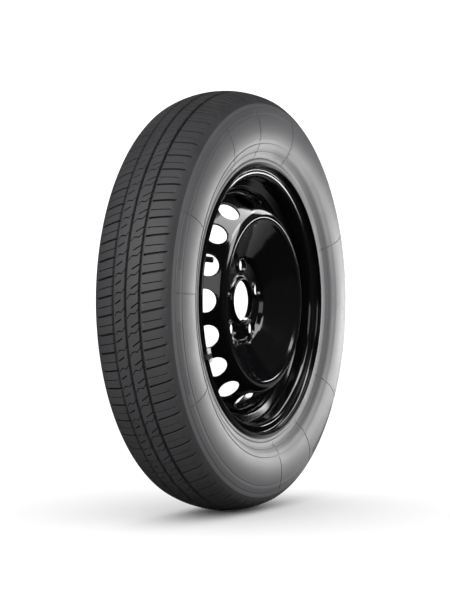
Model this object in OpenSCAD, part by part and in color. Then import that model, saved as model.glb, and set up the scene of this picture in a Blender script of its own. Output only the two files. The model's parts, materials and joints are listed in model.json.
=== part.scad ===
// Narrow temporary-use spare tyre mounted on its pressed steel wheel.
// The wheel spins about the Y axis, its outer face looks along -Y and the origin is the wheel centre.
// Every profile below is drawn as [radius, distance towards the outer face].

/* [Tyre] */
// Diameter over the tread
tyre_d = 685; // [675:1:700]
// Radius of the tread's crown across its width
crown_r = 130; // [120:1:150]
// Width of one circumferential groove
groove_w = 4.6; // [3:0.1:6]
// Depth of one circumferential groove
groove_depth = 6.5; // [4:0.1:7]
// Distance of the outer grooves from the centre groove
groove_pitch = 23; // [21:0.5:25]
// Number of tread pitches round the tyre
pitch_count = 75; // [60:1:80]
// Width of a shoulder slot
slot_w = 2.2; // [1.5:0.1:3]
// Depth of a shoulder slot
slot_depth = 5.5; // [3:0.1:6]
// Slant of a shoulder slot from the axle direction, in degrees
slot_slant = 11; // [0:1:20]
// Length of a notch in a centre rib
notch_len = 13; // [8:0.5:14]
// Slant of a notch from the axle direction, in degrees
notch_slant = 34; // [20:1:40]
// Thickness of rubber and cords under the tread
tread_t = 13; // [12:0.5:15]
// Thickness of the sidewall
wall_t = 6; // [5:0.5:7]

/* [Rim] */
// Width between the bead faces of the two flanges
rim_w = 101.6; // [98:0.1:105]
// Diameter of the bead seats
seat_d = 405.6; // [405:0.1:406]
// Height of a flange above the bead seat
flange_h = 17.3; // [16:0.1:18]
// Thickness of the rolled rim
rim_t = 2.6; // [2.2:0.1:3]
// Radius of the well floor on the tyre side
well_r = 185; // [184:0.5:187]

/* [Disc] */
// Distance of the hub face from the wheel's centre plane
hub_offset = 13; // [11:0.5:15]
// Thickness of the pressed disc
disc_t = 3.6; // [3:0.1:4]
// Radius of the centre bore
bore_r = 33.55; // [30:0.05:35]
// Height of the rolled collar round the bore above the pad
collar_h = 6; // [4:0.5:8]
// Radius of the disc's crest
crest_r = 134.5; // [132:0.5:137]
// Distance of the crest from the centre plane
crest_h = 62.3; // [60:0.1:64]
// Number of vent holes
vent_count = 18; // [12:1:18]
// Diameter of a vent hole
vent_d = 36.5; // [30:0.5:37]
// Radius of the ring of vent holes
vent_ring_r = 164; // [162:0.5:166]

/* [Fixing holes] */
// Number of lug holes
lug_count = 5; // [4:1:5]
// Pitch circle diameter of the lug holes
lug_pcd = 114.3; // [110:0.1:116]
// Diameter of a lug hole
lug_d = 15; // [13:0.1:16]

/* [Valve] */
// Angle of the valve round the wheel, in degrees
valve_angle = 160; // [150:1:170]
// Length of the valve outside the rim, with its cap
valve_len = 32; // [31:0.5:34]
// Outer diameter of the cap
cap_d = 9.2; // [9:0.1:10]

/* [Balance weight] */
// Angle of the weight round the wheel, in degrees
weight_angle = 203; // [190:1:210]
// Length of the weight along the flange
weight_len = 20; // [15:1:30]

/* [Hidden] */
$fn = 96;

// Rolled rim: one half of its tyre side, from the outer lip down to the well floor
seat_r = seat_d / 2;
flange_top_r = seat_r + flange_h;
flange_r = 8.5;
flange_c = [flange_top_r - flange_r, rim_w / 2 + flange_r];
heel_r = 6;
heel_c = [seat_r + heel_r, rim_w / 2 - heel_r];
// The lip starts five of its 14 degree steps above the angle where the bead leaves the flange
lip_angle = 22;
lip_step = 14;
leave_angle = -48;
flank_tilt = 18;
flank_top = [199.2, 26.2];
flank_foot_r = 188.6;
flank_foot = [flank_foot_r, flank_top[1] - (flank_top[0] - flank_foot_r) * tan(flank_tilt)];
well_edge_h = 18.2;

// Tyre section: where each arc of the outer half starts, and its centre
tyre_r = tyre_d / 2;
crown_edge_h = 50;
crown_edge_a = asin(crown_edge_h / crown_r);
shoulder_r = 30;
shoulder_end_a = 62;
upper_r = 88;
lower_r = 70;
lower_end_a = 116;
function step_arc(start, r, a0, a1) = start + r * [cos(a1) - cos(a0), sin(a1) - sin(a0)];
crown_edge = step_arc([tyre_r, 0], crown_r, 0, crown_edge_a);
shoulder_end = step_arc(crown_edge, shoulder_r, crown_edge_a, shoulder_end_a);
widest = step_arc(shoulder_end, upper_r, shoulder_end_a, 90);
lower_end = step_arc(widest, lower_r, 90, lower_end_a);
// Where along a pitch each kind of cut starts, as a share of the pitch
inner_slot_shift = 0.35;
outer_notch_shift = 0.75;
inner_notch_shift = 0.6;
outer_slot_start_h = groove_pitch + 3.5;
inner_slot_start_h = groove_pitch;
slot_middle_h = 43;

// Disc section: the outer face runs pad, dish, crest, cone, bend and skirt
pad_h = hub_offset + disc_t;
skirt_r = well_r - rim_t;
cone_a = 50;
crest_arc_r = 20;
cone_top = [crest_r + crest_arc_r * sin(cone_a), crest_h - crest_arc_r * (1 - cos(cone_a))];
bend_r = 12;
bend_start_r = skirt_r - bend_r * (1 - sin(cone_a));
bend_start = [bend_start_r, cone_top[1] - (bend_start_r - cone_top[0]) * tan(cone_a)];
skirt_top_h = bend_start[1] - bend_r * cos(cone_a);
skirt_foot_h = -6;
vent_h = cone_top[1] - (vent_ring_r - cone_top[0]) * tan(cone_a);
collar_t = 3.2;
collar_foot_r = bore_r + collar_t + 3.2;
boss_r = 13;
boss_h = 4;
seat_top_r = 11;
seat_slope = 60;
seat_pocket_h = 2.6;
weld_gap = 0.1;
weld_leg = 3;

// Valve: heights along its own axis, counted from the rim's outer surface at the hole
valve_hole_r = 5.65;
valve_base = [(flank_top[0] + flank_foot[0]) / 2 - rim_t * sin(flank_tilt),
    (flank_top[1] + flank_foot[1]) / 2 + rim_t * cos(flank_tilt)];
stem_tip_v = valve_len - 1.8;
thread_r = 3.85;
cap_low_v = valve_len - 11;
stem_low_v = -9;
body_top_v = cap_low_v - 0.3;
stem_r = 3.1;
duct_r = 1.6;
core_r = 2.6;
barrel_bore_r = 2.1;
barrel_r = 1.85;
barrel_low_v = 13.6;
barrel_high_v = 28.2;
pin_r = 0.5;
pin_gap = 0.06;
pin_tip_v = 28.8;
cup_seal_r = 1.15;
cup_floor_v = 12;
cap_gap = 0.05;
cap_bore_h = 9.6;
cap_flutes = 12;

function turned(a0, a1, t) = a0 + (a1 - a0) * t;
function arc(c, r, a0, a1, n) = [for (i = [0:n])
    c + r * [cos(turned(a0, a1, i / n)), sin(turned(a0, a1, i / n))]];
// The same kind of arc carried on from its own first point, which is left out
function arc_on(start, r, a0, a1, n) = [for (i = [1:n]) step_arc(start, r, a0, turned(a0, a1, i / n))];
function flip(points) = [for (i = [len(points) - 1:-1:0]) [points[i][0], -points[i][1]]];
function back(points) = [for (i = [len(points) - 1:-1:0]) points[i]];
function unit(v) = v / norm(v);
function side(v) = [-v[1], v[0]];
// A line moved sideways by d at every point, square to the mean of the two stretches that meet there
function moved(p, d) = [for (i = [0:len(p) - 1])
    let (a = i > 0 ? unit(p[i] - p[i - 1]) : unit(p[1] - p[0]),
        b = i < len(p) - 1 ? unit(p[i + 1] - p[i]) : a,
        m = unit(a + b))
    p[i] + side(m) * d / (side(m) * side(b))];

// Turns a profile about the axle, outer face towards -Y
module about_axle() {
    rotate([90, 0, 0]) children();
}

module revolved() {
    about_axle() rotate_extrude($fn = 180) children();
}

// The stretch of the flange and the heel that the bead lies against is shared with the tyre
bead_seat = concat(arc(flange_c, flange_r, leave_angle, -90, 3), arc(heel_c, heel_r, 90, 180, 5),
    [[seat_r - 1, 33.5]]);
rim_half = concat(arc(flange_c, flange_r, lip_angle, lip_angle - 4 * lip_step, 4), bead_seat,
    [[seat_r, 31.6], [seat_r - 0.2, 29.6], [seat_r - 1.7, 27.6]],
    [flank_top, flank_foot, [well_r + 1.1, 20.4], [well_r, well_edge_h]]);
rim_line = concat(rim_half, flip(rim_half));

module wheel_rim() {
    color([0.04, 0.04, 0.045]) difference() {
        revolved() polygon(concat(rim_line, back(moved(rim_line, -rim_t))));
        valve_place() translate([0, 0, -8]) cylinder(r = valve_hole_r, h = 12);
    }
}

outer_arcs = concat(arc([tyre_r - crown_r, 0], crown_r, 0, crown_edge_a, 10),
    arc_on(crown_edge, shoulder_r, crown_edge_a, shoulder_end_a, 6),
    arc_on(shoulder_end, upper_r, shoulder_end_a, 90, 5), arc_on(widest, lower_r, 90, lower_end_a, 5));
rim_cushion = [[237, 61.5], [231, 59.6], [229.5, 60.4], [225.5, 60], [223.4, 57.8]];
liner = [[seat_r + 2.5, 32.2], [222, 37], [236, 50], lower_end - [-2, wall_t + 1], widest - [0, wall_t],
    shoulder_end - [8, wall_t + 5], [tyre_r - tread_t - 7, 46], [tyre_r - tread_t - 1.5, 26]];
half_section = concat(outer_arcs, rim_cushion, bead_seat, liner);

module shoulder_slot(start_h, slant) {
    // Cut from beside the outer groove to just past the shoulder, at an even depth
    floor_line = [for (h = [start_h, (start_h + crown_edge_h) / 2, crown_edge_h])
        [tyre_r - crown_r + sqrt(crown_r * crown_r - h * h) - slot_depth, h]];
    run_out = [shoulder_end - [slot_depth - 3, 6], shoulder_end + [2, 2]];
    above = [[tyre_r + 3, shoulder_end[1]], [tyre_r + 3, start_h]];
    translate([0, 0, slot_middle_h]) rotate([90 + slant, 0, 0]) translate([0, -slot_middle_h, 0])
        linear_extrude(height = slot_w, center = true) polygon(concat(floor_line, run_out, above));
}

module rib_notch(h, r) {
    translate([r, 0, h]) rotate([notch_slant, 0, 0])
        cube([slot_depth * 2, slot_w * 0.8, notch_len], center = true);
}

module tread_cuts() {
    step = 360 / pitch_count;
    for (i = [0:pitch_count - 1]) {
        rotate([0, 0, i * step]) shoulder_slot(outer_slot_start_h, slot_slant);
        rotate([0, 0, (i + inner_slot_shift) * step]) mirror([0, 0, 1])
            shoulder_slot(inner_slot_start_h, -slot_slant);
        rotate([0, 0, (i + outer_notch_shift) * step]) rib_notch(groove_pitch - 7.5, tyre_r - 0.8);
        rotate([0, 0, (i + inner_notch_shift) * step]) rib_notch(-groove_pitch + 10, tyre_r - 0.8);
    }
}

module tyre() {
    color([0.2, 0.2, 0.21]) difference() {
        revolved() difference() {
            polygon(concat(half_section, flip([for (i = [1:len(half_section) - 1]) half_section[i]])));
            for (h = [-groove_pitch, 0, groove_pitch])
                translate([tyre_r - groove_depth - h * h / (2 * crown_r), h - groove_w / 2])
                    square([groove_depth * 2, groove_w]);
        }
        about_axle() tread_cuts();
    }
}

collar_line = [[bore_r, hub_offset], [bore_r, pad_h + collar_h], [bore_r + collar_t, pad_h + collar_h],
    [bore_r + collar_t + 0.8, pad_h + 2.6]];
dish_line = [[collar_foot_r, pad_h], [64.5, pad_h], [66.6, pad_h + 0.9], [70.4, pad_h + 7],
    [73, pad_h + 9], [100, pad_h + 24.6], [126, 57.4], [130.6, 61]];
disc_face = concat(dish_line,
    arc([crest_r, crest_h - crest_arc_r], crest_arc_r, 90, 90 - cone_a, 6),
    arc([skirt_r - bend_r, skirt_top_h], bend_r, 90 - cone_a, 0, 4),
    [[skirt_r, skirt_foot_h]]);

// Raised seats round the lug holes, from inside the sheet up, so that none shows behind it
module lug_bosses() {
    intersection() {
        each_lug() translate([0, 0, hub_offset])
            cylinder(r1 = boss_r + 2, r2 = boss_r - 1, h = disc_t + boss_h);
        rotate_extrude($fn = 180) polygon(concat(moved(dish_line, -disc_t / 2),
            [[crest_r, crest_h], [collar_foot_r, crest_h]]));
    }
}

module lug_hole() {
    // Straight hole, a cone for the nut, and the pocket that pressing the seat out leaves behind it
    seat_h = (seat_top_r - lug_d / 2) * tan(seat_slope) / 2;
    over = 1;
    cylinder(r = lug_d / 2, h = crest_h);
    translate([0, 0, pad_h + boss_h - seat_h])
        cylinder(r1 = lug_d / 2, r2 = seat_top_r + over, h = seat_h + over * tan(seat_slope) / 2);
    translate([0, 0, hub_offset - over])
        cylinder(r1 = seat_top_r + over, r2 = seat_top_r - seat_pocket_h, h = seat_pocket_h + over);
}

module each_lug() {
    for (i = [0:lug_count - 1])
        rotate([0, 0, 90 + i * 360 / lug_count]) translate([lug_pcd / 2, 0, 0]) children();
}

module wheel_disc() {
    color([0.03, 0.03, 0.035]) difference() {
        about_axle() difference() {
            union() {
                rotate_extrude($fn = 180)
                    polygon(concat(collar_line, disc_face, back(moved(disc_face, -disc_t))));
                lug_bosses();
                weld_beads();
            }
            each_lug() lug_hole();
            for (i = [0:vent_count - 1])
                rotate([0, 0, i * 360 / vent_count]) translate([vent_ring_r, 0, vent_h])
                    rotate([0, cone_a, 0]) cylinder(r = vent_d / 2, h = 40, center = true);
        }
    }
}

module weld_beads() {
    weld_r = skirt_r - weld_gap;
    weld_top = skirt_foot_h + 0.5;
    for (i = [0:7])
        rotate([0, 0, i * 45 + 8]) rotate_extrude(angle = 20, $fn = 180)
            polygon([[weld_r, skirt_foot_h - weld_leg], [weld_r, weld_top], [weld_r - weld_leg, weld_top]]);
}

module valve_place() {
    about_axle() rotate([0, 0, valve_angle]) translate([valve_base[0], 0, valve_base[1]])
        rotate([0, -flank_tilt, 0]) children();
}

// Turns a valve profile of [radius, height along the valve] about the valve's axis
module valve_turned(tone, sides, points) {
    color(tone) valve_place() rotate_extrude($fn = sides) polygon(points);
}

module valve_rubber_body() {
    // Bulb inside the rim, a neck as wide as the hole, and the outer body narrowing to the thread
    bulb = [[stem_r, -8], [7.6, -7.6], [8.6, -6.4], [8.6, -4.6], [7, -3.4]];
    neck = [[valve_hole_r, -rim_t - 0.2], [valve_hole_r, 0.2]];
    outer = [[7.6, 0.6], [7.4, 2], [6.3, 5], [5.6, 9], [5.4, body_top_v - 0.7], [4.9, body_top_v]];
    valve_turned([0.12, 0.12, 0.12], 48, concat(bulb, neck, outer, [[stem_r, body_top_v]]));
}

module valve_brass_stem() {
    outside = [[duct_r, stem_low_v], [stem_r, stem_low_v], [stem_r, body_top_v],
        [thread_r - 0.4, body_top_v], [thread_r, body_top_v + 0.6],
        [thread_r, stem_tip_v - 0.4], [thread_r - 0.4, stem_tip_v]];
    inside = [[core_r, stem_tip_v], [core_r, 22], [barrel_bore_r, 21.4],
        [barrel_bore_r, 14.4], [duct_r, 13.2]];
    valve_turned([0.75, 0.6, 0.3], 48, concat(outside, inside));
}

module valve_core_barrel() {
    guide_r = pin_r + pin_gap;
    low_guide = [[1.3, barrel_low_v + 2], [guide_r, barrel_low_v + 1.6], [guide_r, barrel_low_v],
        [duct_r, barrel_low_v], [duct_r, barrel_low_v + 1], [barrel_r, barrel_low_v + 1.4]];
    head = [[barrel_r, 21.2], [core_r, 22.2], [core_r, 26.2], [1.7, 26.6], [1.7, barrel_high_v],
        [1.3, barrel_high_v], [1.3, 24.4], [guide_r, 24]];
    valve_turned([0.8, 0.66, 0.35], 48, concat([[guide_r, 22.6], [1.3, 22]], low_guide, head));
}

module valve_core_barrel_seal() {
    valve_turned([0.7, 0.15, 0.12], 48, [[barrel_r, barrel_low_v + 2], [barrel_bore_r, barrel_low_v + 2],
        [barrel_bore_r, barrel_low_v + 3.6], [barrel_r, barrel_low_v + 3.6]]);
}

module valve_core_pin() {
    collar = [[pin_r, 20.6], [1.1, 20.7], [1.1, 21.4], [pin_r, 21.5]];
    valve_turned([0.82, 0.7, 0.4], 32, concat([[0, 9.6], [pin_r, 9.8]], collar,
        [[pin_r, pin_tip_v - 0.4], [pin_r - 0.2, pin_tip_v], [0, pin_tip_v]]));
}

module valve_core_cup() {
    valve_turned([0.78, 0.64, 0.34], 32, [[pin_r, 10.4], [1.35, 10.8], [1.35, 13.1], [cup_seal_r, 13.1],
        [cup_seal_r, cup_floor_v], [pin_r, cup_floor_v]]);
}

module valve_core_cup_seal() {
    valve_turned([0.1, 0.1, 0.1], 32, [[pin_r, cup_floor_v], [cup_seal_r, cup_floor_v],
        [cup_seal_r, barrel_low_v], [pin_r, barrel_low_v]]);
}

spring_turns = 5;
spring_wire_r = 0.15;
spring_coil_r = 0.9;
spring_low_v = 15.8;
spring_high_v = 20.5;
turn_steps = 16;
wire_sides = 6;
spring_steps = turn_steps * spring_turns;
spring_rise = (spring_high_v - spring_low_v) / spring_steps;
function spring_point(i, j) =
    let (a = i * 360 / turn_steps, b = j * 360 / wire_sides, r = spring_coil_r + spring_wire_r * cos(b))
    [r * cos(a), r * sin(a), spring_low_v + i * spring_rise + spring_wire_r * sin(b)];

module valve_core_spring() {
    n = wire_sides;
    points = [for (i = [0:spring_steps]) for (j = [0:n - 1]) spring_point(i, j)];
    sides = [for (i = [0:spring_steps - 1]) for (j = [0:n - 1])
        [i * n + j, i * n + (j + 1) % n, (i + 1) * n + (j + 1) % n, (i + 1) * n + j]];
    ends = [[for (j = [n - 1:-1:0]) j], [for (j = [0:n - 1]) spring_steps * n + j]];
    color([0.7, 0.7, 0.72]) valve_place() polyhedron(points, concat(sides, ends));
}

module valve_cap() {
    cap_r = cap_d / 2;
    bore = [[0, cap_low_v + cap_bore_h], [thread_r + cap_gap, cap_low_v + cap_bore_h],
        [thread_r + cap_gap, cap_low_v]];
    outside = [[cap_r - 0.2, cap_low_v], [cap_r, cap_low_v + 0.4], [cap_r, valve_len - 1.2],
        [cap_r - 1, valve_len - 0.2], [cap_r - 2, valve_len], [0, valve_len]];
    color([0.06, 0.06, 0.06]) valve_place() difference() {
        rotate_extrude($fn = 48) polygon(concat(bore, outside));
        for (i = [0:cap_flutes - 1]) rotate([0, 0, i * 360 / cap_flutes])
            translate([cap_r + 0.2, 0, cap_low_v + 1.5]) cylinder(r = 0.5, h = 12, $fn = 16);
    }
}

module valve_cap_seal() {
    valve_turned([0.25, 0.25, 0.25], 32, [[1.8, stem_tip_v], [3.5, stem_tip_v],
        [3.5, cap_low_v + cap_bore_h], [1.8, cap_low_v + cap_bore_h]]);
}

// Balance weight: a casting that wraps the edge of the flange, with its spring clip
weight_turn = weight_len / (flange_c[0] + 3) * 180 / PI;
clip_turn = weight_turn * 0.4;
clip_t = 0.9;
rest_gap = 0.1;
flange_in_r = flange_r - rim_t - rest_gap;
flange_out_r = flange_r + rest_gap;
// Face of the weight that looks outwards, from the edge of the flange to its inner end
weight_face = [for (p = [[8.5, 4.4], [8.1, 6.6], [2, 7.6]]) flange_c + p];
weight_back = [for (p = [[-3.4, 5], [-5, 0], [-3.4, -4.4]]) flange_c + p];

module flange_segment(turn) {
    about_axle() rotate([0, 0, weight_angle - turn / 2]) rotate_extrude(angle = turn, $fn = 180) children();
}

module balance_weight() {
    color([0.62, 0.63, 0.64]) flange_segment(weight_turn)
        polygon(concat(arc(flange_c, flange_in_r, -60, lip_angle + 4, 6), weight_face, weight_back));
}

module balance_weight_clip() {
    // Spring strip hooked round the edge of the flange, between rubber and rim, and over the weight's face
    color([0.5, 0.5, 0.52]) flange_segment(clip_turn)
        polygon(concat(arc(flange_c, flange_out_r, -20, lip_angle + 4, 4), weight_face,
            [weight_face[2] + [0, clip_t], weight_face[1] + [0.6, clip_t], weight_face[0] + [clip_t, 0.3]],
            arc(flange_c, flange_out_r + clip_t, lip_angle + 2, -20, 4)));
}

tyre();
wheel_rim();
wheel_disc();
valve_rubber_body();
valve_brass_stem();
valve_core_barrel();
valve_core_barrel_seal();
valve_core_pin();
valve_core_cup();
valve_core_cup_seal();
valve_core_spring();
valve_cap();
valve_cap_seal();
balance_weight();
balance_weight_clip();
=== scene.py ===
import json
import math
import bpy
import bmesh
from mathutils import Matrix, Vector

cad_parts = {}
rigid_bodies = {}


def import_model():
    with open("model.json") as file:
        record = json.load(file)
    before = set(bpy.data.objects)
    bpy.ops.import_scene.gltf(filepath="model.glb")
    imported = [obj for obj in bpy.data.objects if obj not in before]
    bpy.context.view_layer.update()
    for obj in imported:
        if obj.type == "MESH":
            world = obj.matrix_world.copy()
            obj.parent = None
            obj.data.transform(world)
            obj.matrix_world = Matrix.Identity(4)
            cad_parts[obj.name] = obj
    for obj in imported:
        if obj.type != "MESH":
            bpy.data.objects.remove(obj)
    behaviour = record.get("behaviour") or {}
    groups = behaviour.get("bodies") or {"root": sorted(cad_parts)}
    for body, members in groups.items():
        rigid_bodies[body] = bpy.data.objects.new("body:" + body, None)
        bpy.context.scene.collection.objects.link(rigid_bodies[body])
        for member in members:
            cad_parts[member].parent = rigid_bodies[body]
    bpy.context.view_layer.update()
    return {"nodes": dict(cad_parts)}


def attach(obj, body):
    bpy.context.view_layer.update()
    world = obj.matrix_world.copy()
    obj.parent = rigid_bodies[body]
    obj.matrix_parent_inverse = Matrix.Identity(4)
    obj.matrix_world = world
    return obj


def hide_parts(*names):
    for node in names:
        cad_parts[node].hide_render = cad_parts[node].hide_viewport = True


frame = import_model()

mm = 0.001
nodes = frame["nodes"]
scene = bpy.context.scene


def atWheel(r, h, angle):
    # r and h in millimetres, h towards the outer face, which looks along -Y
    return (r * math.cos(angle) * mm, -h * mm, r * math.sin(angle) * mm)


def lerp(a, b, t):
    return a + (b - a) * t


def linear(code):
    # an sRGB hex colour as the linear colour that the shaders take
    parts = [int(code[i:i + 2], 16) / 255 for i in (1, 3, 5)]
    return tuple(c / 12.92 if c <= 0.04045 else ((c + 0.055) / 1.055) ** 2.4 for c in parts) + (1,)


def meshPiece(name, points, faces, sharpAngle=34):
    mesh = bpy.data.meshes.new(name)
    mesh.from_pydata(points, [], faces)
    bm = bmesh.new()
    bm.from_mesh(mesh)
    bmesh.ops.recalc_face_normals(bm, faces=bm.faces)
    bm.to_mesh(mesh)
    bm.free()
    mesh.polygons.foreach_set("use_smooth", [True] * len(mesh.polygons))
    mesh.set_sharp_from_angle(angle=math.radians(sharpAngle))
    piece = bpy.data.objects.new(name, mesh)
    scene.collection.objects.link(piece)
    return piece


def weave(name, grid, sharpAngle=34):
    # a grid of points whose rows run round an axis; the last row is joined to the first
    count = len(grid[0])
    faces = []
    for i in range(len(grid)):
        a, b = i * count, (i + 1) % len(grid) * count
        for j in range(count):
            k = (j + 1) % count
            faces.append((a + j, b + j, b + k, a + k))
    return meshPiece(name, [p for row in grid for p in row], faces, sharpAngle)


def spinAngles(count):
    return [2 * math.pi * i / count for i in range(count)]


nearlyStraight = 3.1  # radians between two stretches that need no fillet


def rounded(line, radii, steps):
    # an open line of (r, h) with its inner corners filleted, one radius for each corner
    out = [line[0]]
    for i in range(1, len(line) - 1):
        radius = radii[i - 1]
        p = Vector(line[i])
        a, b = Vector(line[i - 1]) - p, Vector(line[i + 1]) - p
        angle = a.angle(b)
        reach = min(radius / max(math.tan(angle / 2), 1e-6), a.length * 0.48, b.length * 0.48)
        if radius == 0 or angle > nearlyStraight:
            out.append(tuple(p))
            continue
        start, end = p + a.normalized() * reach, p + b.normalized() * reach
        for k in range(steps + 1):
            t = k / steps
            out.append(tuple(start * (1 - t) ** 2 + p * 2 * t * (1 - t) + end * t ** 2))
    return out + [line[-1]]


def moved(line, distance):
    # the line shifted sideways, square to the mean of the two stretches that meet at each point
    out = []
    for i, p in enumerate(line):
        p = Vector(p)
        before = (p - Vector(line[i - 1])).normalized() if i > 0 else None
        after = (Vector(line[i + 1]) - p).normalized() if i < len(line) - 1 else None
        one, two = before or after, after or before
        mean = (one + two).normalized()
        side, other = Vector((-mean.y, mean.x)), Vector((-two.y, two.x))
        out.append(tuple(p + side * distance / max(side.dot(other), 0.3)))
    return out


def joined(name, pieces, sharpAngle=34):
    # several closed meshes as one piece
    points, faces = [], []
    for piece in pieces:
        start = len(points)
        points += [tuple(v.co) for v in piece.data.vertices]
        faces += [tuple(start + i for i in polygon.vertices) for polygon in piece.data.polygons]
        bpy.data.objects.remove(piece)
    return meshPiece(name, points, faces, sharpAngle)


def tube(name, rings):
    # rings of equal length, one after another, closed by a flat face at both ends
    count = len(rings[0])
    faces = [tuple(reversed(range(count))), tuple((len(rings) - 1) * count + j for j in range(count))]
    for i in range(len(rings) - 1):
        a, b = i * count, (i + 1) * count
        faces += [(a + j, a + (j + 1) % count, b + (j + 1) % count, b + j) for j in range(count)]
    return meshPiece(name, [p for ring in rings for p in ring], faces)


def arcPoints(centre, radius, fromAngle, toAngle, steps):
    angles = [math.radians(lerp(fromAngle, toAngle, i / steps)) for i in range(steps + 1)]
    return [(centre[0] + radius * math.cos(a), centre[1] + radius * math.sin(a)) for a in angles]


def heightAt(line, r):
    # height of a line of (r, h) whose r grows, at that r
    for (r0, h0), (r1, h1) in zip(line, line[1:]):
        if r0 <= r <= r1 and r1 > r0:
            return lerp(h0, h1, (r - r0) / (r1 - r0))
    return line[0][1] if r < line[0][0] else line[-1][1]


def settle(piece, sharpAngle):
    # makes the piece's modifiers part of its mesh
    bpy.context.view_layer.update()
    made = bpy.data.meshes.new_from_object(piece.evaluated_get(bpy.context.evaluated_depsgraph_get()))
    piece.modifiers.clear()
    piece.data = made
    made.set_sharp_from_angle(angle=math.radians(sharpAngle))


def rounding(piece, width, segments, angle):
    # a bevel on the sharp edges, in millimetres, made part of the mesh
    bevel = piece.modifiers.new("roundedEdges", "BEVEL")
    bevel.width = width * mm
    bevel.segments = segments
    bevel.limit_method = "ANGLE"
    bevel.angle_limit = math.radians(angle)
    bevel.harden_normals = False
    settle(piece, 40)
    return piece


def combine(piece, other, operation):
    # adds the other mesh to the piece's, or takes it away, and deletes it
    step = piece.modifiers.new("combined", "BOOLEAN")
    step.operation = operation
    step.solver = "EXACT"
    step.object = other
    settle(piece, 34)
    bpy.data.objects.remove(other)


# Camera, at the photograph's place: level with the hub, far away, looking across the outer face;
# turn is in degrees and the distances are in millimetres
cameraPlace = {"turn": 62.59, "away": 2955, "right": 10.4, "down": 0.85, "lens": 108}

turn = math.radians(cameraPlace["turn"])
forward = Vector((math.sin(turn), math.cos(turn), 0))
right = Vector((math.cos(turn), -math.sin(turn), 0))
cameraData = bpy.data.cameras.new("camera")
cameraData.lens = cameraPlace["lens"]
camera = bpy.data.objects.new("camera", cameraData)
camera.location = (-forward * cameraPlace["away"] - right * cameraPlace["right"]) * mm
camera.location.z = cameraPlace["down"] * mm
camera.rotation_euler = (math.pi / 2, 0, -turn)
scene.collection.objects.link(camera)
scene.camera = camera
print("camera set")


# Materials
def material(name):
    made = bpy.data.materials.new(name)
    made.use_nodes = True
    made.node_tree.nodes.clear()
    return made


def addNode(tree, kind, links=None, **settings):
    # links go from an input's name to (node, output name)
    node = tree.nodes.new(kind)
    for key, value in settings.items():
        if hasattr(node, key):
            setattr(node, key, value)
        else:
            node.inputs[key.replace("_", " ")].default_value = value
    for key, (source, output) in (links or {}).items():
        tree.links.new(source.outputs[output], node.inputs[key])
    return node


def finished(made, surface):
    addNode(made.node_tree, "ShaderNodeOutputMaterial", {"Surface": (surface, "BSDF")})
    return made


def moulded(name, dark, light, roughness, grain, grainDepth, patch=60, ior=1.52):
    # moulded rubber or plastic: the mould's fine grain, a slow change of tone and a duller bloom in places
    made = material(name)
    tree = made.node_tree
    place = addNode(tree, "ShaderNodeTexCoord")
    fine = addNode(tree, "ShaderNodeTexNoise", {"Vector": (place, "Object")},
                   Scale=1 / (grain * mm), Detail=3.0, Roughness=0.6)
    slow = addNode(tree, "ShaderNodeTexNoise", {"Vector": (place, "Object")},
                   Scale=1 / (patch * mm), Detail=4.0, Roughness=0.55)
    tone = addNode(tree, "ShaderNodeMix", {"Factor": (slow, "Fac")}, data_type="RGBA")
    tone.inputs[6].default_value = linear(dark)
    tone.inputs[7].default_value = linear(light)
    dull = addNode(tree, "ShaderNodeMapRange", {"Value": (slow, "Fac")}, From_Min=0.3, From_Max=0.7,
                   To_Min=roughness - 0.04, To_Max=roughness + 0.05)
    bump = addNode(tree, "ShaderNodeBump", {"Height": (fine, "Fac")}, Strength=0.5,
                   Distance=grainDepth * mm)
    surface = addNode(tree, "ShaderNodeBsdfPrincipled",
                      {"Base Color": (tone, 2), "Roughness": (dull, "Result"),
                       "Normal": (bump, "Normal")}, IOR=ior)
    return finished(made, surface)


def metal(name, colour, roughness, grain, grainDepth):
    # bare metal: the tool's fine marks break up its reflection
    made = material(name)
    tree = made.node_tree
    place = addNode(tree, "ShaderNodeTexCoord")
    marks = addNode(tree, "ShaderNodeTexNoise", {"Vector": (place, "Object")},
                    Scale=1 / (grain * mm), Detail=4.0)
    dull = addNode(tree, "ShaderNodeMapRange", {"Value": (marks, "Fac")},
                   To_Min=roughness - 0.06, To_Max=roughness + 0.08)
    bump = addNode(tree, "ShaderNodeBump", {"Height": (marks, "Fac")}, Strength=0.4,
                   Distance=grainDepth * mm)
    surface = addNode(tree, "ShaderNodeBsdfPrincipled",
                      {"Roughness": (dull, "Result"), "Normal": (bump, "Normal")}, Metallic=1.0)
    surface.inputs["Base Color"].default_value = linear(colour)
    return finished(made, surface)


def stovedEnamel(name, colour, roughness, peel, peelDepth):
    # black stoving enamel on pressed steel: a wet gloss with the slight waviness of a dipped coat
    made = material(name)
    tree = made.node_tree
    place = addNode(tree, "ShaderNodeTexCoord")
    waves = addNode(tree, "ShaderNodeTexNoise", {"Vector": (place, "Object")},
                    Scale=1 / (peel * mm), Detail=2.0)
    haze = addNode(tree, "ShaderNodeTexNoise", {"Vector": (place, "Object")},
                   Scale=1 / (45 * mm), Detail=3.0)
    gloss = addNode(tree, "ShaderNodeMapRange", {"Value": (haze, "Fac")},
                    To_Min=roughness - 0.03, To_Max=roughness + 0.04)
    bump = addNode(tree, "ShaderNodeBump", {"Height": (waves, "Fac")}, Strength=0.25,
                   Distance=peelDepth * mm)
    surface = addNode(tree, "ShaderNodeBsdfPrincipled",
                      {"Roughness": (gloss, "Result"), "Normal": (bump, "Normal")}, IOR=1.5)
    surface.inputs["Base Color"].default_value = linear(colour)
    return finished(made, surface)


# tread compound: dull black, faintly brown-grey where light grazes it
treadRubber = moulded("vulcanised rubber tread", "#29292b", "#323234", 0.62, 1.2, 0.08)
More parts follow.
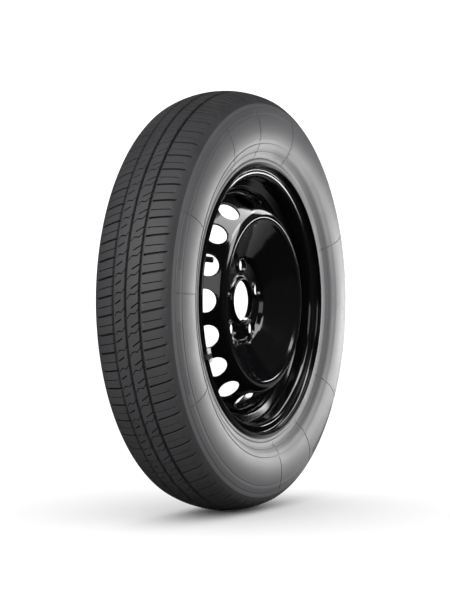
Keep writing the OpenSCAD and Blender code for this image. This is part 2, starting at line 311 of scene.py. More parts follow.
# sidewall compound against a polished mould plate: satin, so it catches broad light
sidewallRubber = moulded("vulcanised rubber sidewall", "#404042", "#464648", 0.56, 1.6, 0.05, patch=90)
# dipped and baked enamel: nearly black and wet-looking, so it shows what stands around it
blackEnamel = stovedEnamel("stoved black enamel on steel", "#060607", 0.1, 6, 0.02)
# small rubber and plastic parts: black, finer in grain and a little shinier than the tyre
valveRubber = moulded("moulded rubber valve body", "#0c0c0d", "#141415", 0.42, 0.6, 0.02)
capPlastic = moulded("moulded polypropylene cap", "#0b0b0c", "#121213", 0.36, 0.4, 0.01, ior=1.49)
sealRubber = moulded("moulded seal rubber", "#1c1c1e", "#262628", 0.5, 0.4, 0.01)
redSeal = moulded("moulded red sealing ring", "#7a1c14", "#8f2a1e", 0.45, 0.4, 0.01)
# turned brass and drawn spring steel: bright, with the fine marks of the tool or the die
turnedBrass = metal("turned brass", "#c9a552", 0.26, 0.12, 0.004)
springSteel = metal("bright spring steel", "#b4b4b8", 0.28, 0.3, 0.004)
# zinc weight with a thin polymer coat: pale, slightly grainy and nearly matt
coatedZinc = moulded("coated zinc casting", "#a6a8a9", "#b2b4b5", 0.5, 0.7, 0.03, patch=12)
print("materials made")


def dress(piece, body, slot, finish, *replaced):
    piece.data.materials.clear()
    piece.data.materials.append(finish)
    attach(piece, body)
    if replaced:
        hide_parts(*replaced)
    return piece


# Tyre section: the same arcs as the solid, all in millimetres
tyre = {"radius": 342.5, "crown": 130, "crownEdge": 50, "shoulder": 30, "shoulderEnd": 62,
        "upper": 88, "lower": 70, "lowerEnd": 116, "grooveWidth": 4.6, "grooveDepth": 6.5,
        "groovePitch": 23, "pitches": 75, "linerEnd": (316.1, 59.6)}

edgeAngle = math.asin(tyre["crownEdge"] / tyre["crown"])
shoulderAngle = math.radians(tyre["shoulderEnd"])
crownLength = tyre["crown"] * edgeAngle
shoulderLength = tyre["shoulder"] * (shoulderAngle - edgeAngle)
bandEnd = crownLength + shoulderLength


def stepArc(start, radius, a, b):
    return (start[0] + radius * (math.cos(b) - math.cos(a)),
            start[1] + radius * (math.sin(b) - math.sin(a)))


crownEdge = stepArc((tyre["radius"], 0), tyre["crown"], 0, edgeAngle)
shoulderEnd = stepArc(crownEdge, tyre["shoulder"], edgeAngle, shoulderAngle)
widest = stepArc(shoulderEnd, tyre["upper"], shoulderAngle, math.pi / 2)
lowerEnd = stepArc(widest, tyre["lower"], math.pi / 2, math.radians(tyre["lowerEnd"]))


def treadPoint(s, depth):
    # a point of the tread band at arc length s from its middle, sunk by depth along the normal
    t = abs(s)
    if t <= crownLength:
        a = t / tyre["crown"]
        r, h = stepArc((tyre["radius"], 0), tyre["crown"], 0, a)
    else:
        a = edgeAngle + (t - crownLength) / tyre["shoulder"]
        r, h = stepArc(crownEdge, tyre["shoulder"], edgeAngle, a)
    r, h = r - depth * math.cos(a), h - depth * math.sin(a)
    return r, math.copysign(h, s) if s else h


# Tread pattern. Each cut crosses a rib from one place to another, in millimetres across the tread.
# half is half its width; at, lean and bend are shares of the pitch, and bend makes a cut wavy.
# The slots and notches are a little wider than the solid's, so that they show at the picture's size,
# and the sipes and waves are drawn here only.
pattern = {
    "innerSlot": {"from": -63.5, "to": -22.0, "at": 0.48, "lean": -0.26, "half": 1.6, "depth": 5.5},
    "innerSipe": {"from": -56.5, "to": -24.0, "at": 0.95, "lean": -0.2, "half": 0.6, "depth": 4.0},
    "innerWave": {"from": -19.5, "to": -2.0, "at": 0.31, "lean": -0.44, "half": 0.85, "depth": 4.5,
                  "bend": 0.11},
    "innerNotch": {"from": -18.6, "to": -7.8, "at": 0.69, "lean": -0.22, "half": 1.1, "depth": 5.0},
    "outerNotch": {"from": 9.2, "to": 21.5, "at": -0.11, "lean": -0.29, "half": 1.1, "depth": 5.0},
    "outerWave": {"from": 2.0, "to": 21.5, "at": 0.47, "lean": -0.57, "half": 0.85, "depth": 4.5,
                  "bend": 0.11},
    "outerSipe": {"from": 27.2, "to": 56.5, "at": -0.36, "lean": -0.18, "half": 0.6, "depth": 4.0},
    "outerSlot": {"from": 26.4, "to": 63.5, "at": 0.12, "lean": -0.27, "half": 1.6, "depth": 5.5},
}
# The two cuts that cross each rib, from the car's side to the outer side
ribs = [("innerSlot", "innerSipe"), ("innerWave", "innerNotch"), ("outerNotch", "outerWave"),
        ("outerSipe", "outerSlot")]
# Every cut's rounded edge, its floor as a share of its width, and how far past its ends its line leans
cutLip = {"width": 0.3, "drop": 0.3, "floor": 0.85, "overrun": 0.15}
# The three grooves' rounded edge, the lean of their walls and the bevel at the foot
grooveLip = {"width": 0.25, "drop": 0.35, "lean": 0.2, "corner": 0.5}
# Distances between the mesh's rows across the tread; a cut ends between two rows, cutEnd each way
rowSpacing = {"longest": 4.6, "shortest": 0.9, "tight": 0.5, "cutEnd": 0.12, "fromRibEdge": 0.6}
shoulderFade = {"from": 58.0, "to": 63.6}  # where the slots run out

pitchLength = 2 * math.pi * tyre["radius"] / tyre["pitches"]
pitchAngle = 2 * math.pi / tyre["pitches"]
grooveArc = tyre["crown"] * math.asin(tyre["groovePitch"] / tyre["crown"])


def cutCentre(cut, s):
    t = (s - cut["from"]) / (cut["to"] - cut["from"])
    along = min(max(t, -cutLip["overrun"]), 1 + cutLip["overrun"])
    wave = cut.get("bend", 0.0) * math.sin(2 * math.pi * min(max(t, 0), 1))
    return cut["at"] + cut["lean"] * along - wave


def cutDepth(cut, s):
    if not cut["from"] <= s <= cut["to"]:
        return 0.0
    fade = (shoulderFade["to"] - abs(s)) / (shoulderFade["to"] - shoulderFade["from"])
    return cut["depth"] * min(1.0, max(0.0, fade))


def columnsAcross(rib, s):
    # (share of the pitch, depth) of every column of one pitch, across one rib
    cuts = [pattern[name] for name in rib]
    centres = [cutCentre(cut, s) for cut in cuts]
    halves = [cut["half"] / pitchLength for cut in cuts]
    lip = cutLip["width"] / pitchLength
    out = []
    for i, (cut, c, w) in enumerate(zip(cuts, centres, halves)):
        depth = cutDepth(cut, s)
        drop = min(cutLip["drop"], depth)
        floorHalf = w * cutLip["floor"]
        out += [(c - w - lip, 0.0), (c - w, drop), (c - floorHalf, depth),
                (c + floorHalf, depth), (c + w, drop), (c + w + lip, 0.0)]
        following = centres[1] - halves[1] if i == 0 else centres[0] + 1 - halves[0]
        out.append((lerp(c + w + lip, following - lip, 0.5), 0.0))
    return out


def treadRows():
    # rows of (arc length, depth of the groove there, rib before, rib after, share between the two)
    grooveAt = [-grooveArc, 0.0, grooveArc]
    half = tyre["grooveWidth"] / 2
    lipHalf = half + grooveLip["width"]
    wallHalf = half - grooveLip["lean"]
    floorHalf = wallHalf - grooveLip["corner"]
    floorDepth = tyre["grooveDepth"]
    wall = [(half, grooveLip["drop"]), (wallHalf, floorDepth - grooveLip["corner"])]
    beside = rowSpacing["cutEnd"]
    rows = []
    for k, rib in enumerate(ribs):
        low = -bandEnd if k == 0 else grooveAt[k - 1] + lipHalf
        high = bandEnd if k == 3 else grooveAt[k] - lipHalf
        count = max(2, round((high - low) / rowSpacing["longest"]))
        places = [lerp(low, high, i / count) for i in range(count + 1)]
        for name in rib:
            for end in (pattern[name]["from"], pattern[name]["to"]):
                inside = low + rowSpacing["fromRibEdge"] < end < high - rowSpacing["fromRibEdge"]
                if inside and abs(end) < shoulderFade["from"]:
                    places += [end - beside, end + beside]
        places += [side * v for v in shoulderFade.values() for side in (-1, 1) if low < side * v < high]
        kept = []
        for place in sorted(places):
            pinned = any(abs(abs(place - end) - beside) < 1e-6 for name in rib
                         for end in (pattern[name]["from"], pattern[name]["to"]))
            gap = place - kept[-1][0] if kept else rowSpacing["longest"]
            if gap < rowSpacing["shortest"] and not pinned and not kept[-1][1]:
                continue
            if gap < rowSpacing["tight"] and not pinned:
                continue
            kept.append((place, pinned))
        if kept[-1][0] < high - 1e-6:
            kept.append((high, False))
        rows += [(place, 0.0, k, k, 0.0) for place, pinned in kept]
        if k < 3:
            c = grooveAt[k]
            rows += [(c - w, d, k, k, 0.0) for w, d in wall]
            rows += [(c + x, floorDepth, k, k + 1, share) for x, share in
                     ((-floorHalf, 0.2), (0, 0.5), (floorHalf, 0.8))]
            rows += [(c + w, d, k + 1, k + 1, 0.0) for w, d in reversed(wall)]
    return rows


def treadBand():
    grid = []
    for place, sunk, before, after, share in treadRows():
        one, two = columnsAcross(ribs[before], place), columnsAcross(ribs[after], place)
        row = []
        for i in range(tyre["pitches"]):
            for (a, depthA), (b, depthB) in zip(one, two):
                depth = max(sunk, depthA if before == after else 0)
                r, h = treadPoint(place, depth)
                row.append(atWheel(r, h, (i + lerp(a, b, share)) * pitchAngle))
        grid.append(row)
    linerHalf = [tyre["linerEnd"], (322.5, 46), (328, 26)]
    liner = linerHalf + [(329.5, 0)] + [(r, -h) for r, h in reversed(linerHalf)]
    ends = [columnsAcross(ribs[3], bandEnd), columnsAcross(ribs[0], -bandEnd)]
    for k, (r, h) in enumerate(liner):
        t = k / (len(liner) - 1)
        shares = [lerp(a[0], b[0], t) for a, b in zip(*ends)]
        grid.append([atWheel(r, h, (i + share) * pitchAngle)
                     for i in range(tyre["pitches"]) for share in shares])
    return weave("tyre_tread", grid, sharpAngle=38)


tread = dress(treadBand(), "wheel", "tyre_rubber", treadRubber, "tyre")
print("tread made:", len(tread.data.polygons), "faces")


# Sidewalls: the marks of the mould's plates, in millimetres and degrees. The rings are shallow grooves;
# ringEdge, ringFloor and ringClear are shares of a ring's half width.
sidewall = {
    "rings": [{"r": 312.6, "half": 0.6, "depth": 0.6}, {"r": 300.2, "half": 0.5, "depth": 0.45},
              {"r": 255.3, "half": 0.7, "depth": 0.8}, {"r": 242.5, "half": 0.6, "depth": 0.6}],
    "ringEdge": 1.6, "ringFloor": 0.9, "ringClear": 1.2,
    # hairlines where the mould's plates meet, on the outer and the inner sidewall
    "outerJoints": [-33, -60, -83, -149, 178, 155, 120, 99, 74, 22],
    "innerJoints": [15, 62, 118, 171, -24, -71, -125],
    "jointHalf": 0.55, "jointDepth": 0.7, "jointFrom": 232, "jointTo": 318, "jointRadius": 280,
    # the raised line where the tread's and the sidewall's moulds meet, outside this radius
    "mouldLine": 317.6, "mouldLineHeight": 0.45,
    "beadTop": 231.2, "beadArea": 240, "columns": 720,
}
# Fine radial ribs in a band below the shoulder, each a low ridge with its foot sunk in the wall
serration = {"spans": [(101, 172), (186, 208), (-57, -36)], "pitch": 2.5, "pitchRadius": 306,
             "radii": [301.5, 304.0, 306.5, 309.0, 311.5], "height": 0.4, "endHeight": 0.05, "sunk": 0.3,
             "crestHalf": 0.35, "footHalf": 0.75, "outward": (0.35, 0.93)}
beadLine = [(237, 61.5), (231, 59.6), (229.5, 60.4), (225.5, 60), (223.4, 57.8), (217.3, 53.0)]
flangeCentre, flangeRadius = (211.6, 59.3), 8.5
heelCentre, heelRadius = (208.8, 44.8), 6.0


def sidewallLine():
    # the outer surface from the shoulder's mould line in to where the bead meets the flange
    line = arcPoints((shoulderEnd[0] - tyre["upper"] * math.cos(shoulderAngle),
                      shoulderEnd[1] - tyre["upper"] * math.sin(shoulderAngle)),
                     tyre["upper"], tyre["shoulderEnd"], 90, 12)
    line += arcPoints((widest[0], widest[1] - tyre["lower"]), tyre["lower"], 90, tyre["lowerEnd"], 12)[1:]
    return rounded(line[:-1] + [lowerEnd] + beadLine, [0] * (len(line) - 1) + [3, 1.2, 0.7, 1.2, 1.5], 2)


def withRings(line, rings):
    # the line with four more points across each ring, and how deep each point is sunk
    placed = [(r, h, 0.0) for r, h in line]
    edge, floor = sidewall["ringEdge"], sidewall["ringFloor"]
    for ring in rings:
        clear = ring["half"] * sidewall["ringClear"]
        for offset, depth in ((edge, 0.0), (floor, ring["depth"]), (-floor, ring["depth"]), (-edge, 0.0)):
            r = ring["r"] + offset * ring["half"]
            placed = [p for p in placed
                      if p[2] > 0 or abs(p[0] - r) > clear or p[0] < sidewall["beadArea"]]
            below = max((p for p in line if p[0] <= r), key=lambda p: p[0])
            above = min((p for p in line if p[0] > r), key=lambda p: p[0])
            t = (r - below[0]) / (above[0] - below[0])
            placed.append((r, lerp(below[1], above[1], t), depth))
    head = sorted([p for p in placed if p[0] > sidewall["beadTop"]], key=lambda p: -p[0])
    tail = [(r, h, 0.0) for r, h in line if r <= sidewall["beadTop"]]
    return head + tail


def sidewallPiece(name, side, joints):
    marked = withRings(sidewallLine(), sidewall["rings"])
    flat = [(r, h) for r, h, depth in marked]
    inward = [(b[0] - a[0], b[1] - a[1]) for a, b in zip(flat, moved(flat, 1.0))]
    angles = [(a, False) for a in spinAngles(sidewall["columns"])]
    reach = sidewall["jointHalf"] / sidewall["jointRadius"]
    for joint in joints:
        middle = math.radians(joint) % (2 * math.pi)
        angles = [a for a in angles if abs(a[0] - middle) > reach * 4]
        angles += [(middle - reach * 2, False), (middle - reach, True), (middle + reach, True),
                   (middle + reach * 2, False)]
    angles.sort()
    grid = []
    for i, ((r, h, depth), (dr, dh)) in enumerate(zip(marked, inward)):
        row = []
        for angle, onJoint in angles:
            hairline = onJoint and sidewall["jointFrom"] < r < sidewall["jointTo"]
            sunk = max(depth, sidewall["jointDepth"] if hairline else 0.0)
            if i == 0:
                sunk = 0.0
            elif r > sidewall["mouldLine"]:
                sunk = -sidewall["mouldLineHeight"]
            row.append(atWheel(r + dr * sunk, side * (h + dh * sunk), angle))
        grid.append(row)
    bead = arcPoints(flangeCentre, flangeRadius, -48, -90, 4)[1:]
    bead += arcPoints(heelCentre, heelRadius, 90, 180, 6)[1:]
    inner = bead + [(201.8, 33.5), (205.3, 32.2), (222, 37), (236, 50), (248.9, 61.2), (262, 67),
                    (277.6, 69.2), (296, 66), tyre["linerEnd"]]
    for r, h in inner:
        grid.append([atWheel(r, side * h, angle) for angle, onJoint in angles])
    return weave(name, grid, sharpAngle=30)


outerWall = dress(sidewallPiece("tyre_sidewall_outer", 1, sidewall["outerJoints"]), "wheel",
                  "tyre_rubber", sidewallRubber, "tyre")
dress(sidewallPiece("tyre_sidewall_inner", -1, sidewall["innerJoints"]), "wheel", "tyre_rubber",
      sidewallRubber, "tyre")


def serrationPiece():
    wall = sorted(p for p in sidewallLine() if p[0] > sidewall["beadArea"])
    step = serration["pitch"] / serration["pitchRadius"]
    foot, crest, sunk = serration["footHalf"], serration["crestHalf"], -serration["sunk"]
    ridges = []
    for low, high in serration["spans"]:
        for i in range(int((math.radians(high) - math.radians(low)) / step)):
            middle = math.radians(low) + i * step
            rings = []
            for r in serration["radii"]:
                atEnd = r in (serration["radii"][0], serration["radii"][-1])
                tall = serration["endHeight"] if atEnd else serration["height"]
                h = heightAt(wall, r)
                rings.append([atWheel(r + up * serration["outward"][0], h + up * serration["outward"][1],
                                      middle + half / r)
                              for half, up in ((foot, sunk), (crest, tall), (-crest, tall), (-foot, sunk))])
            ridges.append(tube("ridge", rings))
    return joined("tyre_sidewall_ribs", ridges, 30)


dress(serrationPiece(), "wheel", "tyre_rubber", sidewallRubber)
print("sidewalls made:", len(outerWall.data.polygons), "faces")


# Rim: one rolled strip, drawn on its tyre side and thickened towards the axle
rim = {"thickness": 2.6, "lipAngle": 22, "columns": 360}
rimHalf = arcPoints(flangeCentre, flangeRadius, rim["lipAngle"], -90, 14)
rimHalf += arcPoints(heelCentre, heelRadius, 90, 180, 10)[1:]
flankTop, flankFoot = (199.2, 26.2), (188.6, 22.756)  # the slope that the valve stands in
rimRest = [(202.8, 44.8), (201.8, 33.5), (202.9, 31.2), (202.4, 29.2), flankTop, flankFoot, (185.0, 19.6),
           (185.0, 0)]
rimHalf += rounded(rimRest, [4, 1.6, 1.6, 3, 3, 4], 4)[1:-1]
rimLine = rimHalf + [(r, -h) for r, h in reversed(rimHalf)]
rimBack = moved(rimLine, -rim["thickness"])


def roundEnd(outerPoint, innerPoint, beyond):
    # a half round edge between the two skins of a sheet
    a, b = Vector(outerPoint), Vector(innerPoint)
    c, radius = (a + b) / 2, (a - b) / 2
    out = Vector(beyond).normalized() * radius.length
    turns = [math.radians(degrees) for degrees in (45, 90, 135)]
    return [tuple(c + radius * math.cos(t) + out * math.sin(t)) for t in turns]


def rimPiece():
    lipStart = Vector(rimLine[0]) - Vector(rimLine[1])
    lipEnd = Vector(rimLine[-1]) - Vector(rimLine[-2])
    loop = list(rimLine) + roundEnd(rimLine[-1], rimBack[-1], lipEnd)
    loop += list(reversed(rimBack)) + roundEnd(rimBack[0], rimLine[0], lipStart)
    grid = [[atWheel(r, h, a) for a in spinAngles(rim["columns"])] for r, h in loop]
    return weave("wheel_rim_rolled", grid, sharpAngle=40)


wheelRim = dress(rimPiece(), "wheel", "painted_steel", blackEnamel, "wheel_rim")
print("rim made:", len(wheelRim.data.polygons), "faces")


# Disc: pressed from sheet, turned as one profile; the seats are pressed up and the holes punched
disc = {"thickness": 3.6, "hub": 13, "bore": 33.55, "columns": 432, "skirt": 182.4, "skirtFoot": -6,
        "crest": (134.5, 62.3), "crestArc": 20, "cone": 50, "bend": 12}
lug = {"count": 5, "circle": 57.15, "hole": 7.5, "seatTop": 11, "seatSlope": 60, "height": 4,
       "sides": 72}
vent = {"count": 18, "radius": 18.25, "circle": 164, "sides": 96}

coneAngle = math.radians(disc["cone"])
pad = disc["hub"] + disc["thickness"]
coneTop = (disc["crest"][0] + disc["crestArc"] * math.sin(coneAngle),
           disc["crest"][1] - disc["crestArc"] * (1 - math.cos(coneAngle)))
bendStart = disc["skirt"] - disc["bend"] * (1 - math.sin(coneAngle))
bendTop = coneTop[1] - (bendStart - coneTop[0]) * math.tan(coneAngle)
skirtTop = bendTop - disc["bend"] * math.cos(coneAngle)
ventHeight = coneTop[1] - (vent["circle"] - coneTop[0]) * math.tan(coneAngle)


def divided(line, longest):
    # the line with points added, so that no stretch is longer than that
    out = [line[0]]
    for a, b in zip(line, line[1:]):
        count = max(1, math.ceil(math.dist(a, b) / longest))
        out += [(lerp(a[0], b[0], i / count), lerp(a[1], b[1], i / count)) for i in range(1, count + 1)]
    return out


def discPiece():
    dish = [(39.95, pad), (64.5, pad), (66.6, pad + 0.9), (70.4, pad + 7), (73, pad + 9),
            (100, pad + 24.6), (126, 57.4), (130.6, 61)]
    top = arcPoints((disc["crest"][0], disc["crest"][1] - disc["crestArc"]), disc["crestArc"], 90,
                    90 - disc["cone"], 10)
    bend = arcPoints((disc["skirt"] - disc["bend"], skirtTop), disc["bend"], 90 - disc["cone"], 0, 8)
    dish = rounded(dish + [top[0]], [3.5, 2.5, 2.5, 6, 30, 6, 6], 5)
    face = divided(dish[:-1] + top + bend + [(disc["skirt"], disc["skirtFoot"])], 6)
    behind = moved(face, -disc["thickness"])
    behind[0] = (face[0][0], disc["hub"])
    bore = disc["bore"]
    collar = [(bore, disc["hub"] + 0.6), (bore, pad + 6), (bore + 3.2, pad + 6),
              (bore + 4, pad + 2.6), face[0], face[1]]
    collar = rounded(collar, [0.9, 1.4, 2.0, 1.8], 4)[:-1]
    loop = collar + face[1:] + behind[::-1] + [(bore + 0.6, disc["hub"])]
    grid = [[atWheel(r, h, a) for a in spinAngles(disc["columns"])] for r, h in loop]
    return weave("wheel_disc_pressed", grid)


def aroundLug(index, profile):
    # rings of (radius, height) turned about one lug hole's own axis
    middle = math.radians(90 + index * 360 / lug["count"])
    rings = []
    for radius, h in profile:
        ring = []
        for a in spinAngles(lug["sides"]):
            x, y = lug["circle"] + radius * math.cos(a), radius * math.sin(a)
            ring.append(atWheel(math.hypot(x, y), h, middle + math.atan2(y, x)))
        rings.append(ring)
    return rings


def ventCutter(index):
    # follows the cone's curve round the hole, so that both edges come out evenly rounded
    middle = math.radians(index * 360 / vent["count"])
    t = disc["thickness"]
    s, c = math.sin(coneAngle), math.cos(coneAngle)
    # how far the cutter stands out from the hole's radius, and how deep under the face
    edge = [(1.6, -1.5), (0.7, 0), (0.25, 0.12), (0, 0.6), (0, t - 0.5), (0.2, t - 0.1), (0.6, t),
            (1.3, t + 1.2)]
    rings = []
    for radius, down in edge:
        ring = []
        for a in spinAngles(vent["sides"]):
            w, u = (vent["radius"] + radius) * math.cos(a), (vent["radius"] + radius) * math.sin(a)
            centre = vent["circle"] - down * s
            v = u
            for repeat in range(4):
                r = centre + v * c
                turned = math.asin(w / r)
                v = (u + centre * c * (1 - math.cos(turned))) / (c * c * math.cos(turned) + s * s)
            ring.append(atWheel(centre + v * c, ventHeight - down * c - v * s, middle + turned))
        rings.append(ring)
    return tube("vent", rings)


# The raised seats and the holes through them, from the back of the sheet to the nut's side
seatUp = pad + lug["height"]
seatFoot = seatUp - (lug["seatTop"] - lug["hole"]) * math.tan(math.radians(lug["seatSlope"])) / 2
bossProfile = [(13.2, disc["hub"] + 1.6), (14.6, pad - 0.3), (13.9, pad + 0.12), (13.3, pad + 0.7),
               (12.5, seatUp - 0.9), (12.2, seatUp - 0.35), (11.7, seatUp)]
holeProfile = [(12.6, disc["hub"] - 1), (11.3, disc["hub"]), (10.9, disc["hub"] + 0.3),
               (8.4, disc["hub"] + 2.4), (7.9, disc["hub"] + 2.6), (lug["hole"], disc["hub"] + 2.9),
               (lug["hole"], seatFoot), (lug["seatTop"] - 0.2, seatUp - 0.35),
               (lug["seatTop"] + 0.3, seatUp), (lug["seatTop"] + 1.5, seatUp + 1.2),
               (lug["seatTop"] + 1.5, seatUp + 6)]

wheelDisc = discPiece()
bosses = [tube("boss", aroundLug(i, bossProfile)) for i in range(lug["count"])]
combine(wheelDisc, joined("bosses", bosses), "UNION")
holes = [tube("hole", aroundLug(i, holeProfile)) for i in range(lug["count"])]
vents = [ventCutter(i) for i in range(vent["count"])]
combine(wheelDisc, joined("holes", holes + vents), "DIFFERENCE")
dress(wheelDisc, "wheel", "painted_steel", blackEnamel, "wheel_disc")
print("disc made:", len(wheelDisc.data.polygons), "faces")


# Eight fillet welds between the disc's skirt and the rim's well, with the ripple of each pass;
# from and length are degrees, the section is in shares of the leg
weld = {"count": 8, "from": 8, "length": 20, "steps": 60, "leg": 3.1, "endShare": 0.45, "endRise": 0.2,
        "ripple": 0.06, "rippleSteps": 4, "corner": (disc["skirt"] - 0.15, disc["skirtFoot"] + 0.6),
        "section": [(0, 0), (1, 0), (0.72, 0.4), (0.4, 0.75), (0, 1.1)]}


def weldPiece():
    beads = []
    for k in range(weld["count"]):
        rings = []
        for i in range(weld["steps"] + 1):
            degrees = k * 360 / weld["count"] + weld["from"] + i * weld["length"] / weld["steps"]
            fromEnd = min(i, weld["steps"] - i)
            size = weld["leg"] * min(1, weld["endShare"] + weld["endRise"] * fromEnd)
            size *= 1 + weld["ripple"] * math.cos(2 * math.pi * i / weld["rippleSteps"])
            rings.append([atWheel(weld["corner"][0] - size * x, weld["corner"][1] - size * y,
                                  math.radians(degrees)) for x, y in weld["section"]])
        beads.append(tube("bead", rings))
    return joined("wheel_disc_welds", beads, 60)


dress(weldPiece(), "wheel", "painted_steel", blackEnamel)


# Valve, drawn along its own axis from the rim's outer surface
valve = {"angle": 160, "tilt": 18, "hole": 5.65, "length": 32, "stem": 3.1, "thread": 3.85,
         "threadDepth": 0.42, "pitch": 0.794, "capLow": 21, "capRadius": 4.6, "flutes": 24,
         "fluteDepth": 0.32}
valveAngle = math.radians(valve["angle"])
valveTilt = math.radians(valve["tilt"])
valveFoot = ((flankTop[0] + flankFoot[0]) / 2 - rim["thickness"] * math.sin(valveTilt),
             (flankTop[1] + flankFoot[1]) / 2 + rim["thickness"] * math.cos(valveTilt))


def atValve(x, y, v):
    r = valveFoot[0] + x * math.cos(valveTilt) - v * math.sin(valveTilt)
    h = valveFoot[1] + x * math.sin(valveTilt) + v * math.cos(valveTilt)
    return atWheel(math.hypot(r, y), h, valveAngle + math.atan2(y, r))


def valveTurned(name, profile, sides, radiusAt=None):
    # a profile of (radius, height) turned about the valve's axis, with its ends closed
    rings = []
    for radius, v in profile:
        rings.append([])
        for a in spinAngles(sides):
            out = radiusAt(radius, v, a) if radiusAt else radius
            rings[-1].append(atValve(out * math.cos(a), out * math.sin(a), v))
    return weave(name, rings)


def threaded(radius, v, a):
    # the stem's outer surface under the cap, with its thread
    if radius < valve["thread"] - 0.35 or not valve["capLow"] - 0.1 < v < valve["length"] - 2.4:
        return radius
    turn = (v / valve["pitch"] - a / (2 * math.pi)) % 1
    return radius - valve["threadDepth"] * max(0.0, 1 - abs(turn - 0.5) * 2.6)


def fluted(radius, v, a):
    # the cap's side, with its grip flutes running out at both ends
    low, high, runOut = valve["capLow"] + 1.2, valve["length"] - 1.6, 0.8
    if radius < valve["capRadius"] - 0.4 or not low < v < high:
        return radius
    fade = min(1, (v - low) / runOut, (high - v) / runOut)
    return radius - valve["fluteDepth"] * fade * (0.5 - 0.5 * math.cos(a * valve["flutes"])) ** 2


bodyTop = valve["capLow"] - 0.3
stemTip = valve["length"] - 1.8
bodyProfile = [(valve["stem"], bodyTop), (valve["stem"], -8), (7.6, -7.6), (8.6, -6.4), (8.6, -4.6),
               (7, -3.4), (valve["hole"], -2.8), (valve["hole"], 0.2), (7.6, 0.6), (7.4, 2), (6.3, 5),
               (5.6, 9), (5.4, 12.5), (5.4, bodyTop - 0.7), (4.9, bodyTop), (valve["stem"], bodyTop)]
bodyProfile = rounded(bodyProfile, [0, 0.5, 1, 1, 1, 0.6, 0.2, 0.4, 0.5, 1.5, 3, 4, 0.4, 0.4], 3)
dress(valveTurned("valve_body_moulded", divided(bodyProfile[:-1], 2), 64), "wheel", "valve_rubber",
      valveRubber, "valve_rubber_body")
stemOutside = [(valve["stem"], -9), (valve["stem"], bodyTop), (3.45, bodyTop),
               (valve["thread"], bodyTop + 0.5)]
stemOutside += [(valve["thread"], lerp(bodyTop + 0.6, stemTip - 0.5, i / 88)) for i in range(89)]
stemOutside.append((3.45, stemTip))
stemInside = [(2.75, stemTip), (2.6, stemTip - 0.2), (2.6, 22), (2.1, 21.4), (2.1, 14.4), (1.6, 13.2),
              (1.6, -9)]
dress(valveTurned("valve_stem_threaded", stemOutside + stemInside, 48, threaded), "wheel", "valve_brass",
      turnedBrass, "valve_brass_stem")
capLow = valve["capLow"]
capTop = valve["length"]
capRadius = valve["capRadius"]
capOutside = [(3.9, capLow), (capRadius - 0.2, capLow), (capRadius, capLow + 0.4),
              (capRadius, capTop - 1.2), (3.6, capTop - 0.2), (2.6, capTop), (0.01, capTop)]
capOutside = rounded(capOutside, [0.1, 0.2, 0.5, 0.5, 0.8], 4)
capInside = [(0.01, 30.6), (3.7, 30.6), (3.9, 30.3)]
dress(valveTurned("valve_cap_moulded", divided(capOutside, 0.4) + capInside, 192, fluted), "cap",
      "cap_plastic", capPlastic, "valve_cap")
holeRadius = valve["hole"] + 0.01
valveHole = tube("valveHole", [[atValve(holeRadius * math.cos(a), holeRadius * math.sin(a), v)
                                for a in spinAngles(64)] for v in (-9, 9)])
combine(wheelRim, valveHole, "DIFFERENCE")
print("valve made")


# Balance weight: a cast bar bent over the flange's edge, rounded at its ends
weight = {"angle": 203, "length": 20, "gap": 0.1, "steps": 12, "edge": 0.7}


def weightPiece():
    turn = weight["length"] / (flangeCentre[0] + 3)
    inside = flangeRadius - rim["thickness"] - weight["gap"]
    section = arcPoints(flangeCentre, inside, -60, 26, 8)
    section += [(flangeCentre[0] + x, flangeCentre[1] + y) for x, y in
                ((8.5, 4.4), (8.1, 6.6), (2, 7.6), (-3.4, 5), (-5, 0), (-3.4, -4.4))]
    rings = []
    for i in range(weight["steps"] + 1):
        angle = math.radians(weight["angle"]) + turn * (i / weight["steps"] - 0.5)
        rings.append([atWheel(r, h, angle) for r, h in section])
    return rounding(tube("balance_weight_cast", rings), weight["edge"], 3, 30)


dress(weightPiece(), "wheel", "coated_weight", coatedZinc, "balance_weight")

# The valve's core, its seals and spring and the weight's clip keep the solids' own meshes
solidMeshes = {
    "valve_core_barrel": turnedBrass, "valve_core_barrel_seal": redSeal, "valve_core_pin": turnedBrass,
    "valve_core_cup": turnedBrass, "valve_core_cup_seal": sealRubber, "valve_core_spring": springSteel,
    "valve_cap_seal": sealRubber, "balance_weight_clip": springSteel,
}
for name, finish in solidMeshes.items():
    nodes[name].data.materials.clear()
    nodes[name].data.materials.append(finish)
print("small parts made")


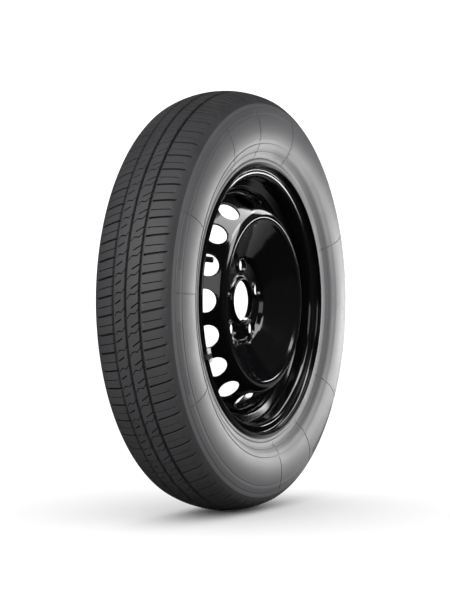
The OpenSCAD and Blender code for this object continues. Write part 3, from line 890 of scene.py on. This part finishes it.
# Studio: white paper floor and background. The rubber and the enamel each have softboxes of their own,
# as in a picture put together from two exposures.
# Each softbox: its place and aim in metres, its width and height, and the brightness of its face;
# watts is the power of a square metre at a brightness of one.
studio = {"world": 1.3, "paper": 0.93, "paperFibre": 700.0, "floorHalf": 12, "floorBelow": 0.02,
          "watts": 4}
rubberBoxes = {
    "rubber side": ((0.96, -0.34, -0.03), (0.1, 0, 0), 0.38, 0.45, 9.0),
    "rubber front": ((0.74, -0.78, -0.06), (0.2, 0, 0), 0.45, 0.45, 10.0),
    "rubber back": ((1.05, 0.55, 0.3), (0.2, 0, 0), 1.5, 1.3, 0.3),
    "rubber floor": ((0.9, -0.3, -0.35), (0.9, -0.3, 1), 1.3, 1.6, 0.6),
    "rubber left": ((-1.7, -0.1, 0.7), (0, 0, 0), 1.0, 0.8, 7.0),
}
wheelBoxes = {
    "wheel crest": ((0.08, -0.45, 0.36), (-0.07, -0.06, 0.1), 0.2, 0.38, 5.5),
    "wheel top": ((0.12, -0.3, 0.55), (-0.07, -0.06, 0.12), 0.6, 0.3, 5.5),
    "wheel right": ((0.46, -0.13, 0.4), (0, -0.06, 0.13), 0.3, 0.24, 4.0),
    "wheel lip": ((0.87, -0.53, 0.14), (0, 0, -0.1), 0.24, 0.1, 8.0),
    "wheel behind": ((0.75, 0.85, 1.3), (0, 0, -0.1), 1.0, 0.5, 9.0),
    "wheel front": ((0.55, -1.5, 0.3), (0, 0, 0), 2.4, 1.5, 0.03),
    "wheel left": ((-1.4, -1.1, 0.5), (0, 0, 0), 1.2, 0.8, 1.6),
    "wheel floor": ((1.3, -0.5, -0.36), (1.3, -0.5, 1), 1.3, 1.4, 0.25),
}

rubberPieces = [o for o in scene.objects if o.name.startswith("tyre_")]
wheelPieces = [o for o in scene.objects if o.type == "MESH" and o not in rubberPieces]


def receivers(name, pieces):
    group = bpy.data.collections.new(name)
    for piece in pieces:
        group.objects.link(piece)
    return group


onRubber, onWheel = receivers("rubber", rubberPieces), receivers("wheel", wheelPieces)


def softbox(name, place, aim, width, height, strength, group):
    lamp = bpy.data.lights.new(name, "AREA")
    lamp.shape = "RECTANGLE"
    lamp.size = width
    lamp.size_y = height
    lamp.energy = strength * width * height * studio["watts"]
    box = bpy.data.objects.new(name, lamp)
    box.location = place
    box.rotation_euler = (Vector(place) - Vector(aim)).to_track_quat("Z", "Y").to_euler()
    box.visible_camera = False
    box.light_linking.receiver_collection = group
    scene.collection.objects.link(box)


def floorPaper():
    made = material("white seamless paper")
    tree = made.node_tree
    place = addNode(tree, "ShaderNodeTexCoord")
    fibre = addNode(tree, "ShaderNodeTexNoise", {"Vector": (place, "Object")},
                    Scale=studio["paperFibre"], Detail=3.0)
    bump = addNode(tree, "ShaderNodeBump", {"Height": (fibre, "Fac")}, Strength=0.1, Distance=0.0001)
    paper = addNode(tree, "ShaderNodeBsdfDiffuse", {"Normal": (bump, "Normal")},
                    Color=(studio["paper"], studio["paper"], studio["paper"], 1))
    return finished(made, paper)


floorMesh = bpy.data.meshes.new("floor")
floorHeight = -(tyre["radius"] + studio["floorBelow"]) * mm
corners = [(x * studio["floorHalf"], y * studio["floorHalf"], floorHeight)
           for x, y in ((-1, -1), (1, -1), (1, 1), (-1, 1))]
floorMesh.from_pydata(corners, [], [(0, 1, 2, 3)])
floorMesh.materials.append(floorPaper())
floor = bpy.data.objects.new("floor", floorMesh)
scene.collection.objects.link(floor)

world = bpy.data.worlds.new("studio")
world.use_nodes = True
world.node_tree.nodes["Background"].inputs["Color"].default_value = (1, 1, 1, 1)
world.node_tree.nodes["Background"].inputs["Strength"].default_value = studio["world"]
scene.world = world
scene.view_settings.view_transform = "Standard"
world.cycles_visibility.glossy = False
floor.visible_glossy = False
for name, settings in rubberBoxes.items():
    softbox(name, *settings, onRubber)
for name, settings in wheelBoxes.items():
    softbox(name, *settings, onWheel)
print("studio made")
